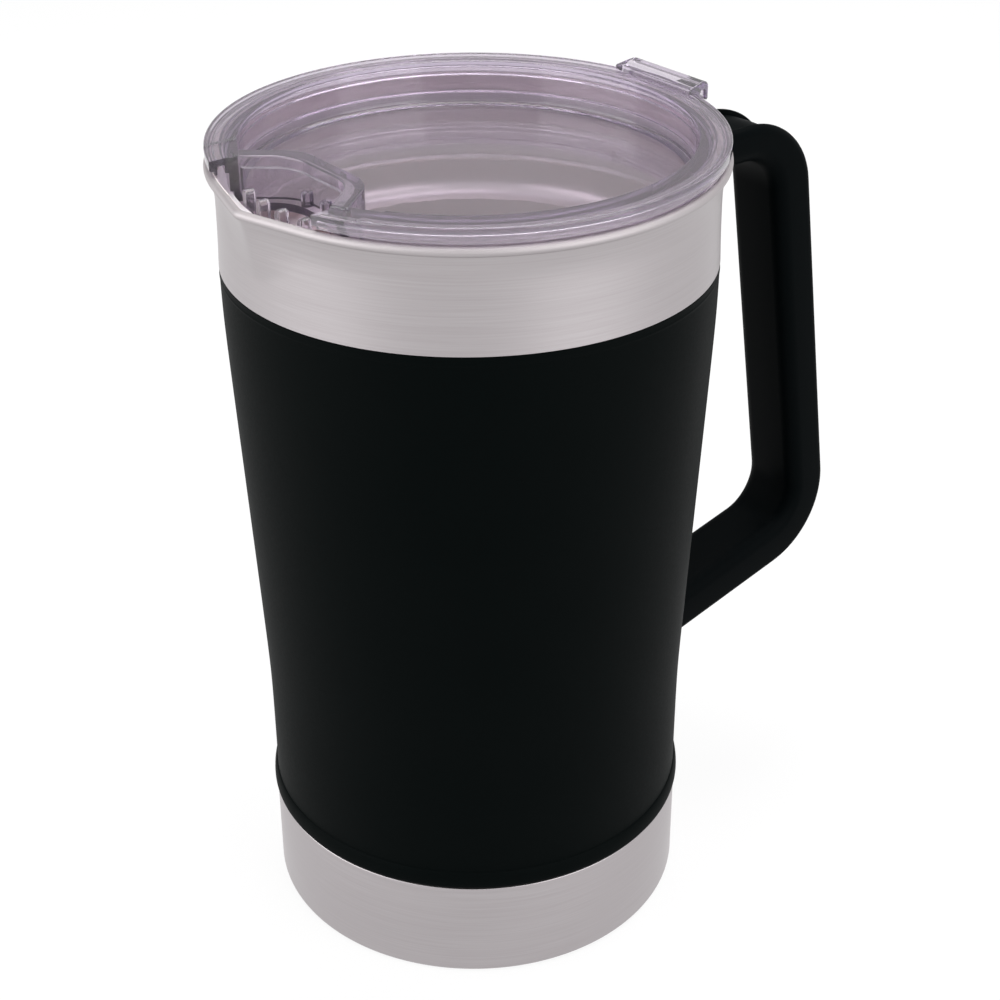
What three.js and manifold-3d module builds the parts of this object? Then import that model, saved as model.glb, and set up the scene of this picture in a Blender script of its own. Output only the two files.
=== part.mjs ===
// Thermal jug: double-walled steel body with a pressed spout, a moulded side handle
// and a clear lift-off lid with a strainer notch.
// Millimetres, +Z up. The base centre is the origin, the handle lies along +X, the spout along -X.
import * as THREE from "three";
import { mergeVertices } from "three/addons/utils/BufferGeometryUtils.js";
import Module from "manifold-3d";

const wasm = await Module();
wasm.setup();

// Fits and fineness
const fit = 0.3; // gap between neighbouring pieces
const seam = 0.2; // hairline between the coated shell and the bare collar
const overcut = 1; // how far a cutting shape runs past what it cuts
const sides = 52; // flats round the outside, with one edge on each of X and Y
const hiddenSides = 32; // flats round the inner pieces
const rodSides = 16; // flats round small round pieces
const bendSteps = 7; // sections in one bend of the handle
const weldMerge = 1e-3; // vertices nearer than this are one

// Steel body
const steelWall = 0.6;
const baseHeight = 32.7; // bare cup at the foot
const shellHeight = 178.8; // coated shell above the cup
const collarHeight = 30; // bare collar above the shell, up to the top of the lip
const footRadius = 64.15; // shell's lower cylinder
const baseStep = 0.45; // base cup's wall past the shell's lower cylinder
const mouthRadius = 70.5; // shell's upper cylinder and the collar's foot
const lowerCylinder = 41.3; // shell's straight foot below the cone
const upperCylinder = 13.5; // shell's straight top above the cone
const wallBlend = 9; // softness of the two changes of slope
const footBeadHeight = 5.8;
const footBeadLow = 1.4; // bead's widest place above the shell's edge
const footBeadProud = 1.15;
const cornerRadius = 1.8; // bottom corner of the base cup
const spigotHeight = 13; // cup's neck inside the shell

// Collar, lip and spout
const waistDraw = 0.4; // collar's slight narrowing below the lip
const waistDrop = 11; // narrowest place below the top of the lip
const lipProud = 2.1; // lip past the shell's upper cylinder
const lipBead = 1.35; // radius of the rolled edge
const spoutDepth = 20.5; // height of the pressed V
const spoutProud = 3.0; // crease past the round collar at the lip

// Inner vessel and the vacuum space
const vacuumGap = 5.3;
const rimLap = 1.1; // liner's rim above the collar's foot
const shoulderDrop = 11.9; // liner's shoulder below its rim
const shoulderSweep = 6; // height of the hollow above the shoulder
const linerFloor = 16; // height of the vessel's floor above the table
const linerCorner = 12;
const foilThickness = 0.4;
const foilFoot = 18; // bottom of the foil above the vessel's floor
const foilDrop = 20; // top of the foil below the shoulder

// Bottom closure
const standingRing = 7.6; // width of the ring that the jug stands on
const recessRise = 1.5;
const recessSlope = 1;
const capThickness = 0.9;
const dimpleRadius = 6;
const dimpleRise = 1.5;
const portRadius = 1.5;
const getterRadius = 5;
const getterHeight = 2;
const getterPlace = 30;
const clipThickness = 0.6;
const clipWidth = 6;
const clipFoot = 4;

// Lid
const flangeThickness = 3.6;
const flangeShy = 0.5; // flange inside the lip's reach
const flangeWidth = 9;
const flangeEdge = 0.8; // rounding of the flange's rim
const flangeLift = 1.55; // flange's underside above the lip
const seatInset = 1.4; // seat rib inside the flange's rim
const plugWall = 2.5;
const plugLip = 1.1; // rib under the gasket
const plugChamfer = 0.5;
const grooveDepth = 1.0;
const trayDepth = 13.15;
const trayFillet = 2.2;
const floorThickness = 2.2;
const gasketHeight = 3.6;
const gasketBand = 1.2;
const finThickness = 0.9;
const ringHeight = 2.6; // plug's ring where it crosses the notch

// Pour notch and strainer comb
const notchBack = 44; // notch wall from the axis
const notchHalf = 15.4; // half length of its straight middle
const notchFlare = THREE.MathUtils.degToRad(39.5);
const notchBend = 6;
const notchStrip = 5; // width of the wall's top edge
const notchWeb = 2.4;
const notchOpening = 24.2; // half width of the cut in the flange
const endHalf = 35; // lowered ends of the flange reach this far from the middle
const endDrop = 0.6;
const combCount = 4;
const combPitch = 9.05;
const combTooth = 2.8;
const combDrop = 6; // tips below the flange's top
const combDepth = 3;
const ribCount = 3; // ribs on the face of the notch's wall
const ribDrop = 9; // their tops below the flange's top
const ribProud = 0.2; // their fronts past the wall's top edge

// Thumb tab over the handle
const tabRoot = 6.2; // start inside the flange's rim
const tabCrest = 1.1; // crest past the flange's rim
const tabReach = 5.3; // nose past the flange's rim
const tabRise = 2.55; // crest above the flange
const tabFall = 3.4; // nose below the flange's top
const tabWall = 2.4;
const tabTipHalf = 14.9;
const tabRootHalf = 16.2;
const tabCorner = 2.5;

// Handle
const armBury = 7; // arms' middle line inside the wall before they are cut to it
const armDrop = 18.7; // top arm's middle below the top of the lip
const gripTop = 117; // middle line at the top bend, from the axis
const gripFoot = 140.4; // middle line at the bottom bend
const gripFootHeight = 77.4;
const lowerArmSlope = 0.238;
const handleBend = 20.3;
const armThickness = 11.9;
const gripThickness = 14.8;
const lowerArmThickness = 15.2;
const handleWidth = 23.4;
const handleInnerCorner = 5;
const handleOuterCorner = 2.8;
const coverWidth = 16.4;
const coverThickness = 2;
const coverRecess = 1.3;
const channelWidth = 11.5;
const channelFloor = 3;
const endWall = 3.6;

// Fixings
const studRadius = 4;
const studLength = 7;
const screwRadius = 1.5;
const screwHead = 2.5;
const screwHeadHeight = 1.8;
const screwHeadEdge = 0.7;
const screwGrip = 4.5; // thread inside the stud

// Body's heights and radii that follow
const collarFoot = baseHeight + shellHeight;
const lipTop = collarFoot + collarHeight;
const shellFoot = baseHeight + fit;
const taperFoot = baseHeight + lowerCylinder;
const taperTop = collarFoot - upperCylinder;
const taperSlope = (mouthRadius - footRadius) / (taperTop - taperFoot);
const lipReach = mouthRadius + lipProud;
const collarBore = mouthRadius - waistDraw - steelWall;
const linerRim = collarFoot + rimLap;
const shoulder = linerRim - shoulderDrop;
const linerInset = 2 * steelWall + vacuumGap; // vessel's inside from the shell's outside
const baseRadius = footRadius + baseStep;
const ringInner = baseRadius - cornerRadius - standingRing;
const cupFloor = recessRise + steelWall;

// Lid's heights, above the top of the lip, and its radii
const flangeTop = flangeLift + flangeThickness;
const flangeRadius = lipReach - flangeShy;
const trayRadius = flangeRadius - flangeWidth;
const grooveRadius = trayRadius + plugWall;
const plugRadius = grooveRadius + grooveDepth;
const trayFloor = flangeTop - trayDepth;
const plugFoot = trayFloor - floorThickness;
const grooveFoot = plugFoot + plugLip;
const grooveTop = grooveFoot + gasketHeight + 2 * fit;

const at = (r, z) => new THREE.Vector2(r, z);
const softRamp = (t) => (t + Math.hypot(t, wallBlend)) / 2;

// Outside of the shell at a height: two cylinders joined by a long cone.
function wallRadius(z) {
  return footRadius + taperSlope * (softRamp(z - taperFoot) - softRamp(z - taperTop));
}

// Points on an elliptic arc of a profile, angles in degrees from the outward direction.
function arc(r, z, across, along, from, to, steps) {
  const points = [];
  for (let i = 0; i <= steps; i++) {
    const angle = THREE.MathUtils.degToRad(from + ((to - from) * i) / steps);
    points.push(at(r + across * Math.cos(angle), z + along * Math.sin(angle)));
  }
  return points;
}

// Closed solid of a geometry, turned to face out.
function solid(geometry) {
  const bare = new THREE.BufferGeometry();
  bare.setAttribute("position", geometry.getAttribute("position"));
  bare.setIndex(geometry.index);
  const merged = mergeVertices(bare, weldMerge);
  const vertProperties = new Float32Array(merged.getAttribute("position").array);
  const triVerts = new Uint32Array(merged.index.array);
  const made = new wasm.Manifold(new wasm.Mesh({ numProp: 3, vertProperties, triVerts }));
  if (made.volume() > 0) return made;
  triVerts.reverse();
  return new wasm.Manifold(new wasm.Mesh({ numProp: 3, vertProperties, triVerts }));
}

// Turned piece from a profile of (radius, height) points, closed on the axis or on itself.
function revolve(points, count = sides) {
  const onAxis = points[0].x === 0 && points.at(-1).x === 0;
  const closed = onAxis ? points : [...points, points[0]];
  return solid(new THREE.LatheGeometry(closed, count).rotateX(Math.PI / 2));
}

function drum(radius, bottom, top, count = sides) {
  return revolve([at(0, bottom), at(radius, bottom), at(radius, top), at(0, top)], count);
}

// Upright prism over a plan outline.
function prism(outline, bottom, top) {
  const shape = new THREE.Shape(outline);
  const options = { depth: top - bottom, bevelEnabled: false };
  return solid(new THREE.ExtrudeGeometry(shape, options).translate(0, 0, bottom));
}

// Prism over an outline in the XZ plane, centred across Y.
function crossPrism(outline, width) {
  const shape = new THREE.Shape(outline);
  const options = { depth: width, bevelEnabled: false };
  const geometry = new THREE.ExtrudeGeometry(shape, options).translate(0, 0, -width / 2);
  return solid(geometry.rotateX(Math.PI / 2));
}

// Skin over the sections of a swept piece, with flat ends.
function loft(rings, sections) {
  const count = rings[0].length;
  const index = [];
  for (let i = 0; i < rings.length - 1; i++) {
    for (let j = 0; j < count; j++) {
      const a = i * count + j;
      const b = i * count + ((j + 1) % count);
      index.push(a, b, b + count, a, b + count, a + count);
    }
  }
  const last = (rings.length - 1) * count;
  for (const [a, b, c] of THREE.ShapeUtils.triangulateShape(sections[0], [])) {
    index.push(c, b, a);
  }
  for (const [a, b, c] of THREE.ShapeUtils.triangulateShape(sections.at(-1), [])) {
    index.push(last + a, last + b, last + c);
  }
  const geometry = new THREE.BufferGeometry().setFromPoints(rings.flat());
  geometry.setIndex(index);
  return solid(geometry);
}

// Coated shell with a rolled bead at its foot, widest near its lower edge.
function outerShell() {
  const widest = shellFoot + footBeadLow;
  const beadUp = footBeadHeight - footBeadLow;
  const top = collarFoot - seam;
  const bends = [taperFoot - wallBlend, taperFoot + wallBlend, taperTop - wallBlend];
  const stations = [bends[0], taperFoot, bends[1], bends[2], taperTop, top];
  const bore = (z) => at(wallRadius(z) - steelWall, z);
  return revolve([
    bore(shellFoot),
    ...arc(footRadius, widest, footBeadProud, footBeadLow, -90, 0, 2),
    ...arc(footRadius, widest, footBeadProud, beadUp, 0, 90, 4).slice(1),
    ...stations.map((z) => at(wallRadius(z), z)),
    bore(top),
    ...bends.map(bore).reverse(),
  ]);
}

// Bare cup at the foot: wall, neck inside the shell, standing ring and evacuation port.
function baseCup() {
  const neck = wallRadius(shellFoot) - steelWall - fit;
  const inside = baseRadius - steelWall;
  const neckTop = baseHeight + spigotHeight;
  return revolve([
    at(ringInner + recessSlope, 0),
    ...arc(baseRadius - cornerRadius, cornerRadius, cornerRadius, cornerRadius, -90, 0, 3),
    at(baseRadius, baseHeight),
    at(neck, baseHeight),
    at(neck, neckTop),
    at(neck - steelWall, neckTop),
    at(neck - steelWall, baseHeight - steelWall),
    at(inside, baseHeight - 2 * steelWall),
    at(inside, cornerRadius),
    at(baseRadius - cornerRadius, steelWall),
    at(ringInner + recessSlope, steelWall),
    at(ringInner, cupFloor),
    at(dimpleRadius + steelWall, cupFloor),
    at(dimpleRadius, cupFloor + dimpleRise),
    at(portRadius, cupFloor + dimpleRise),
    at(portRadius, recessRise + dimpleRise),
    at(dimpleRadius - steelWall, recessRise + dimpleRise),
    at(dimpleRadius, recessRise),
    at(ringInner, recessRise),
  ]);
}

// Bare collar: slight waist, flare to a rolled lip, and the V spout pressed into it.
function collar() {
  const waist = lipTop - waistDrop;
  const beadFoot = lipTop - 2 * lipBead;
  const narrow = mouthRadius - waistDraw;
  const beadMiddle = lipReach - lipBead;
  const outside = [
    at(mouthRadius, collarFoot),
    at(narrow + waistDraw / 4, (collarFoot + waist) / 2),
    at(narrow, waist),
    at((narrow + beadMiddle) / 2 - waistDraw / 2, (waist + beadFoot) / 2),
    at(beadMiddle, beadFoot),
  ];
  const inside = outside.map((p) => at(p.x - steelWall, p.y)).reverse();
  const bead = arc(beadMiddle, lipTop - lipBead, lipBead, lipBead, -90, 180, 8).slice(1);
  const profile = [...outside, ...bead, ...inside];
  const geometry = new THREE.LatheGeometry([...profile, profile[0]], sides).rotateX(Math.PI / 2);
  const spots = geometry.getAttribute("position");
  for (let i = 0; i < spots.count; i++) {
    const push = spoutPush(spots.getX(i), spots.getY(i), spots.getZ(i));
    spots.setXY(i, spots.getX(i) * push, spots.getY(i) * push);
  }
  return solid(geometry);
}

// Growth of the round collar at a place: two flats that meet in the spout's crease, eased in from below.
function spoutPush(x, y, z) {
  const below = Math.min(1, (lipTop - z) / spoutDepth);
  const crease = 1 + (spoutProud / mouthRadius) * (1 - below * below);
  const spread = Math.acos(1 / crease);
  const angle = Math.atan2(Math.abs(y), -x);
  return angle < spread ? 1 / Math.cos(spread - angle) : 1;
}

// Inner vessel: rim lapped inside the collar, hollow above a sharp shoulder, taper like the shell's.
function liner() {
  const rim = mouthRadius - steelWall - fit;
  const wall = (z) => wallRadius(z) - linerInset;
  const neckFoot = shoulder - shoulderSweep;
  const neck = wall(neckFoot);
  const turn = shoulder + shoulderSweep;
  const corner = linerFloor + linerCorner;
  const middle = wall(corner) - linerCorner;
  const outer = linerCorner + steelWall;
  const heights = [taperFoot - wallBlend, taperFoot + wallBlend, taperTop - wallBlend, neckFoot];
  const reach = rim - steelWall - neck;
  return revolve(
    [
      at(0, linerFloor),
      ...arc(middle, corner, linerCorner, linerCorner, -90, 0, 4),
      ...heights.map((z) => at(wall(z), z)),
      ...arc(neck, turn, reach, shoulderSweep, -90, 0, 4),
      at(rim - steelWall, linerRim),
      at(rim, linerRim),
      at(rim, turn - steelWall),
      at(rim - steelWall, shoulder - steelWall / 2),
      at(neck + steelWall, shoulder - steelWall),
      ...heights.map((z) => at(wall(z) + steelWall, z)).reverse(),
      ...arc(middle, corner, outer, outer, 0, -90, 3),
      at(0, linerFloor - steelWall),
    ],
    hiddenSides,
  );
}

// Thin copper wrap round the vessel, inside the vacuum.
function foil() {
  const skin = linerInset - steelWall - fit;
  const heights = [linerFloor + foilFoot, taperFoot - wallBlend, taperFoot + wallBlend, shoulder - foilDrop];
  const inner = heights.map((z) => at(wallRadius(z) - skin, z));
  const outer = heights.map((z) => at(wallRadius(z) - skin + foilThickness, z));
  return revolve([...inner, ...outer.reverse()], hiddenSides);
}

// Hat-shaped strap that holds the getter down on the cup's floor.
function getterClip() {
  const inner = getterRadius + fit;
  const outer = inner + clipThickness;
  const foot = outer + clipFoot;
  const roof = getterHeight + fit;
  const under = [at(foot, 0), at(inner, 0), at(inner, roof)];
  const over = [at(outer, roof + clipThickness), at(outer, clipThickness), at(foot, clipThickness)];
  const mirrored = (points) => points.map((p) => at(-p.x, p.y)).reverse();
  return crossPrism([...under, ...mirrored(under), ...mirrored(over), ...over], clipWidth);
}

// Plan line round the notch, a distance towards the spout from the tray's side of its wall.
// Past its flared sides it runs straight out at a half width.
function notchLine(offset, halfWidth) {
  const bendX = -(notchBack + offset);
  const bendY = notchHalf - offset * Math.tan(Math.PI / 4 - notchFlare / 2);
  const flare = at(-Math.cos(notchFlare), Math.sin(notchFlare));
  const after = at(bendX, bendY).addScaledVector(flare, notchBend);
  const turn = at(bendX, bendY).addScaledVector(flare, (halfWidth - bendY) / flare.y);
  const half = new THREE.Path();
  half.moveTo(bendX, 0);
  half.lineTo(bendX, bendY - notchBend);
  half.quadraticCurveTo(bendX, bendY, after.x, after.y);
  half.lineTo(turn.x, turn.y);
  half.lineTo(turn.x - flangeRadius, turn.y);
  const points = half.getPoints(5);
  const mirrored = points.slice(1).map((p) => at(p.x, -p.y));
  return [...mirrored.reverse(), ...points];
}

// Round-topped teeth of the strainer comb, standing on the plug's ring.
function combTeeth() {
  const half = combTooth / 2;
  const foot = plugFoot + plugChamfer;
  const tip = flangeTop - combDrop - half;
  const shape = new THREE.Shape();
  shape.moveTo(-half, foot);
  shape.lineTo(half, foot);
  shape.lineTo(half, tip);
  shape.absarc(0, tip, half, 0, Math.PI, false);
  const options = { depth: combDepth, bevelEnabled: false, curveSegments: 6 };
  const teeth = [];
  for (let i = 0; i < combCount; i++) {
    const angle = ((i - (combCount - 1) / 2) * combPitch) / grooveRadius;
    const geometry = new THREE.ExtrudeGeometry(shape, options).rotateX(Math.PI / 2);
    geometry.translate(0, grooveRadius, 0).rotateZ(Math.PI / 2 + angle);
    teeth.push(solid(geometry));
  }
  return teeth;
}

// Round-fronted ribs on the face of the notch's wall, between the teeth.
function wallRibs() {
  const half = combTooth / 2;
  const back = -(notchBack + notchWeb / 2);
  const front = half - (notchBack + notchStrip + ribProud);
  const ribs = [];
  for (let i = 0; i < ribCount; i++) {
    const y = (i - (ribCount - 1) / 2) * combPitch;
    const plan = new THREE.Shape();
    plan.moveTo(back, y - half);
    plan.lineTo(back, y + half);
    plan.absarc(front, y, half, Math.PI / 2, 1.5 * Math.PI, false);
    ribs.push(prism(plan.getPoints(4), plugFoot, flangeTop - ribDrop));
  }
  return ribs;
}

// Thumb tab: a plate that rises past the flange and turns down at its nose.
function thumbTab() {
  const root = flangeRadius - tabRoot;
  const nose = flangeRadius + tabReach;
  const crest = flangeTop + tabRise;
  const low = flangeTop - tabFall;
  const middle = flangeTop - flangeThickness / 2;
  const side = new THREE.Shape();
  side.moveTo(root, middle);
  side.lineTo(root, flangeTop);
  side.lineTo(flangeRadius + tabCrest, crest);
  side.quadraticCurveTo(nose, crest, nose, low + tabWall / 2);
  side.absarc(nose - tabWall / 2, low + tabWall / 2, tabWall / 2, 0, -Math.PI, true);
  side.quadraticCurveTo(nose - tabWall, crest - tabWall, flangeRadius + tabCrest, crest - tabWall);
  side.lineTo(flangeRadius, middle);
  const plan = new THREE.Shape();
  plan.moveTo(root, -tabRootHalf);
  plan.lineTo(nose - tabCorner, -tabTipHalf);
  plan.quadraticCurveTo(nose, -tabTipHalf, nose, tabCorner - tabTipHalf);
  plan.lineTo(nose, tabTipHalf - tabCorner);
  plan.quadraticCurveTo(nose, tabTipHalf, nose - tabCorner, tabTipHalf);
  plan.lineTo(root, tabRootHalf);
  const plate = crossPrism(side.getPoints(4), 2 * tabRootHalf);
  return plate.intersect(prism(plan.getPoints(4), low - overcut, crest + overcut));
}

// Flange, plug and tray of the lid as one turned piece.
function lidTray() {
  const seat = flangeRadius - seatInset;
  const edge = flangeRadius - flangeEdge;
  const fillet = trayRadius - trayFillet;
  return revolve([
    at(0, plugFoot),
    at(plugRadius - plugChamfer, plugFoot),
    at(plugRadius, plugFoot + plugChamfer),
    at(plugRadius, grooveFoot),
    at(grooveRadius, grooveFoot),
    at(grooveRadius, grooveTop),
    at(plugRadius, grooveTop),
    at(plugRadius, fit),
    at(seat, fit),
    at(seat, flangeLift),
    ...arc(edge, flangeLift + flangeEdge, flangeEdge, flangeEdge, -90, 0, 2),
    ...arc(edge, flangeTop - flangeEdge, flangeEdge, flangeEdge, 0, 90, 2),
    ...arc(trayRadius + flangeEdge, flangeTop - flangeEdge, flangeEdge, flangeEdge, 90, 180, 2),
    ...arc(fillet, trayFloor + trayFillet, trayFillet, trayFillet, 0, -90, 3),
    at(0, trayFloor),
  ]);
}

// Clear lid: the tray with a walled pour notch, a strainer comb on the plug's ring and the thumb tab.
function lid() {
  const spoutSide = notchLine(notchStrip, notchOpening);
  const traySide = notchLine(0, flangeRadius + notchStrip).reverse();
  const webSide = notchLine(notchWeb, flangeRadius);
  const pocket = prism(spoutSide, plugFoot - overcut, flangeTop + overcut);
  const ring = revolve([
    at(trayRadius, plugFoot),
    at(plugRadius - plugChamfer, plugFoot),
    at(plugRadius, plugFoot + plugChamfer),
    at(plugRadius, grooveFoot),
    at(grooveRadius, grooveFoot),
    at(grooveRadius, plugFoot + ringHeight),
    at(trayRadius, plugFoot + ringHeight),
  ]);
  const inTray = drum(trayRadius + flangeEdge, plugFoot, flangeTop);
  const inPlug = drum(grooveRadius, plugFoot, flangeTop);
  const endPlan = [at(0, -endHalf), at(0, endHalf), at(-flangeRadius, endHalf), at(-flangeRadius, -endHalf)];
  const ends = prism(endPlan, flangeTop - endDrop, flangeTop + overcut);
  const strip = prism([...traySide, ...spoutSide], flangeLift, flangeTop).intersect(inTray);
  const web = prism([...traySide, ...webSide], plugFoot, flangeTop - flangeEdge).intersect(inPlug);
  let made = lidTray().subtract(ends).subtract(pocket).add(ring).add(strip).add(web).add(thumbTab());
  for (const tooth of combTeeth()) made = made.add(tooth.intersect(inPlug));
  for (const rib of wallRibs()) made = made.add(rib);
  return made;
}

// Silicone ring in the plug's groove, with a soft fin at its foot and one at its top.
function gasket() {
  const inner = grooveRadius + fit;
  const band = inner + gasketBand;
  const tip = collarBore - fit;
  const foot = grooveFoot + fit;
  const top = foot + gasketHeight;
  return revolve([
    at(inner, foot),
    at(band, foot),
    at(tip, foot + finThickness / 2),
    at(tip, foot + finThickness),
    at(band, foot + finThickness),
    at(band, top - finThickness),
    at(tip, top - finThickness / 2),
    at(tip, top),
    at(inner, top),
  ]);
}

// Middle line of the handle in the XZ plane: places with a heading and a thickness.
function handleLine() {
  const armHeight = lipTop - armDrop;
  const rootX = footRadius - armBury;
  const corners = [
    at(mouthRadius - armBury, armHeight),
    at(gripTop, armHeight),
    at(gripFoot, gripFootHeight),
    at(rootX, gripFootHeight - lowerArmSlope * (gripFoot - rootX)),
  ];
  const thickness = [armThickness, gripThickness, lowerArmThickness];
  const headings = thickness.map((_, i) => corners[i + 1].clone().sub(corners[i]).normalize());
  const places = [{ p: corners[0], t: headings[0], thick: thickness[0] }];
  for (let i = 1; i < thickness.length; i++) {
    const before = headings[i - 1];
    const turn = Math.acos(before.dot(headings[i]));
    const start = corners[i].clone().addScaledVector(before, -handleBend * Math.tan(turn / 2));
    const middle = start.addScaledVector(at(before.y, -before.x), handleBend);
    for (let k = 0; k <= bendSteps; k++) {
      const t = before.clone().rotateAround(at(0, 0), (-turn * k) / bendSteps);
      const p = middle.clone().addScaledVector(at(-t.y, t.x), handleBend);
      const thick = THREE.MathUtils.lerp(thickness[i - 1], thickness[i], k / bendSteps);
      places.push({ p, t, thick });
    }
  }
  places.push({ p: corners.at(-1), t: headings.at(-1), thick: thickness.at(-1) });
  return places;
}

// The handle's line with a length taken off each end.
function shortened(line, fromStart, fromEnd) {
  const first = line[0];
  const last = line.at(-1);
  const start = { ...first, p: first.p.clone().addScaledVector(first.t, fromStart) };
  const end = { ...last, p: last.p.clone().addScaledVector(last.t, -fromEnd) };
  return [start, ...line.slice(1, -1), end];
}

// Swept piece along the handle's line; a section gives (across, outward) points at a thickness.
function sweep(line, section) {
  const sections = line.map((place) => section(place.thick));
  const rings = line.map(({ p, t }, i) =>
    sections[i].map((q) => new THREE.Vector3(p.x - t.y * q.y, q.x, p.y + t.x * q.y)),
  );
  return loft(rings, sections);
}

const boxSection = (half, low, high) => [at(-half, low), at(half, low), at(half, high), at(-half, high)];

function gripSection(thick) {
  const half = handleWidth / 2;
  const inner = handleInnerCorner;
  const outer = handleOuterCorner;
  const side = [
    ...arc(half - inner, inner - thick / 2, inner, inner, -90, 0, 4),
    ...arc(half - outer, thick / 2 - outer, outer, outer, 0, 90, 3),
  ];
  return [...side, ...side.map((q) => at(-q.x, q.y)).reverse()];
}

// Outside of the steel body, grown by a gap, for cutting the pieces that sit on it.
function bodyEnvelope(gap) {
  const bends = [taperFoot - wallBlend, taperFoot, taperFoot + wallBlend, taperTop - wallBlend, taperTop];
  const outside = [0, ...bends, lipTop].map((z) => at(wallRadius(z) + gap, z));
  return revolve([at(0, 0), ...outside, at(0, lipTop)]);
}

const gripLine = handleLine();
const topRoot = gripLine[0];
const lowRoot = { p: gripLine.at(-1).p, t: gripLine.at(-1).t.clone().negate() };
const topInset = armBury / topRoot.t.x + studLength;
const lowInset = armBury / lowRoot.t.x + studLength;

// Round piece along an arm, from a profile of (radius, length from the arm's root) points.
function armDrum(root, profile) {
  const geometry = new THREE.LatheGeometry(profile, rodSides).rotateZ(-Math.PI / 2);
  geometry.rotateX(Math.PI / 2).rotateY(-Math.atan2(root.t.y, root.t.x));
  return solid(geometry.translate(root.p.x, 0, root.p.y));
}

function rod(root, radius, from, to) {
  return armDrum(root, [at(0, from), at(radius, from), at(radius, to), at(0, to)]);
}

// Threaded stud welded to the body, inside the arm's end.
function stud(root, inset) {
  const bore = rod(root, screwRadius + fit, inset - screwGrip - fit, inset + overcut);
  return rod(root, studRadius, 0, inset).subtract(bodyEnvelope(fit)).subtract(bore);
}

function screw(root, inset) {
  const seat = inset + endWall + 2 * fit;
  const top = seat + screwHeadHeight;
  return armDrum(root, [
    at(0, inset - screwGrip),
    at(screwRadius, inset - screwGrip),
    at(screwRadius, seat),
    at(screwHead, seat),
    at(screwHead, top - screwHeadEdge),
    at(screwHead - screwHeadEdge, top),
    at(0, top),
  ]);
}

// Socket and screw hole for one arm's end.
function armSocket(root, inset) {
  const socket = rod(root, studRadius + fit, 0, inset + fit);
  return socket.add(rod(root, screwRadius + fit, inset, inset + endWall + overcut));
}

// Handle: a channel open to the outside along the arms and grip, stepped for its cover.
function handleBody() {
  const ledge = coverRecess + coverThickness + fit;
  const opening = coverWidth / 2 + fit;
  const hollow = shortened(gripLine, topInset + fit + endWall, lowInset + fit + endWall);
  const groove = (thick) => boxSection(channelWidth / 2, channelFloor - thick / 2, thick / 2);
  const step = (thick) => boxSection(opening, thick / 2 - ledge, thick / 2 + overcut);
  const blank = sweep(gripLine, gripSection).subtract(bodyEnvelope(fit));
  const sockets = armSocket(topRoot, topInset).add(armSocket(lowRoot, lowInset));
  return blank.subtract(sweep(hollow, groove)).subtract(sweep(hollow, step)).subtract(sockets);
}

// Strip let into the handle's outer face, on the channel's step.
function handleCover() {
  const strip = shortened(gripLine, topInset + 2 * fit + endWall, lowInset + 2 * fit + endWall);
  const face = (thick) => thick / 2 - coverRecess;
  return sweep(strip, (thick) => boxSection(coverWidth / 2, face(thick) - coverThickness, face(thick)));
}

const coat = new THREE.MeshStandardMaterial({ color: 0x0b0d0e, roughness: 0.55, metalness: 0.1 });
const steel = new THREE.MeshStandardMaterial({ color: 0xb9b4b6, roughness: 0.35, metalness: 1 });
const copper = new THREE.MeshStandardMaterial({ color: 0xb87350, roughness: 0.3, metalness: 1 });
const sinter = new THREE.MeshStandardMaterial({ color: 0x5b5c60, roughness: 0.8, metalness: 0.4 });
const plastic = new THREE.MeshStandardMaterial({ color: 0x101314, roughness: 0.5 });
const silicone = new THREE.MeshStandardMaterial({ color: 0xd9d1d4, roughness: 0.4 });
const clear = new THREE.MeshStandardMaterial({ color: 0xb7adbb, roughness: 0.08, transparent: true });
clear.opacity = 0.35;

function piece(name, made, material) {
  const { vertProperties, triVerts } = made.getMesh();
  const geometry = new THREE.BufferGeometry();
  geometry.setAttribute("position", new THREE.BufferAttribute(vertProperties, 3));
  geometry.setIndex(new THREE.BufferAttribute(triVerts, 1));
  geometry.computeVertexNormals();
  const mesh = new THREE.Mesh(geometry, material);
  mesh.name = name;
  return mesh;
}

const body = new THREE.Group();
body.add(piece("outer_shell", outerShell(), coat));
body.add(piece("collar", collar(), steel));
body.add(piece("inner_liner", liner(), steel));
body.add(piece("insulation_foil", foil(), copper));
body.add(piece("base_cup", baseCup(), steel));
body.add(piece("base_cap", drum(ringInner - fit, 0, capThickness), steel));

const sealRadius = dimpleRadius - steelWall - fit;
const sealTop = recessRise + dimpleRise - fit;
body.add(piece("vacuum_seal", drum(sealRadius, capThickness + fit, sealTop, rodSides), steel));

const getter = new THREE.Group();
getter.add(piece("getter_pellet", drum(getterRadius, 0, getterHeight, rodSides), sinter));
getter.add(piece("getter_clip", getterClip(), steel));
getter.position.set(getterPlace, 0, cupFloor + fit);
body.add(getter);

const handle = new THREE.Group();
handle.add(piece("handle_body", handleBody(), plastic));
handle.add(piece("handle_cover", handleCover(), plastic));
handle.add(piece("upper_stud", stud(topRoot, topInset), steel));
handle.add(piece("lower_stud", stud(lowRoot, lowInset), steel));
handle.add(piece("upper_screw", screw(topRoot, topInset), steel));
handle.add(piece("lower_screw", screw(lowRoot, lowInset), steel));

const lidSet = new THREE.Group();
lidSet.add(piece("lid", lid(), clear));
lidSet.add(piece("lid_gasket", gasket(), silicone));
lidSet.position.z = lipTop;

const jug = new THREE.Group();
jug.name = "thermal_jug";
jug.add(body, handle, lidSet);

export default jug;
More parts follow.
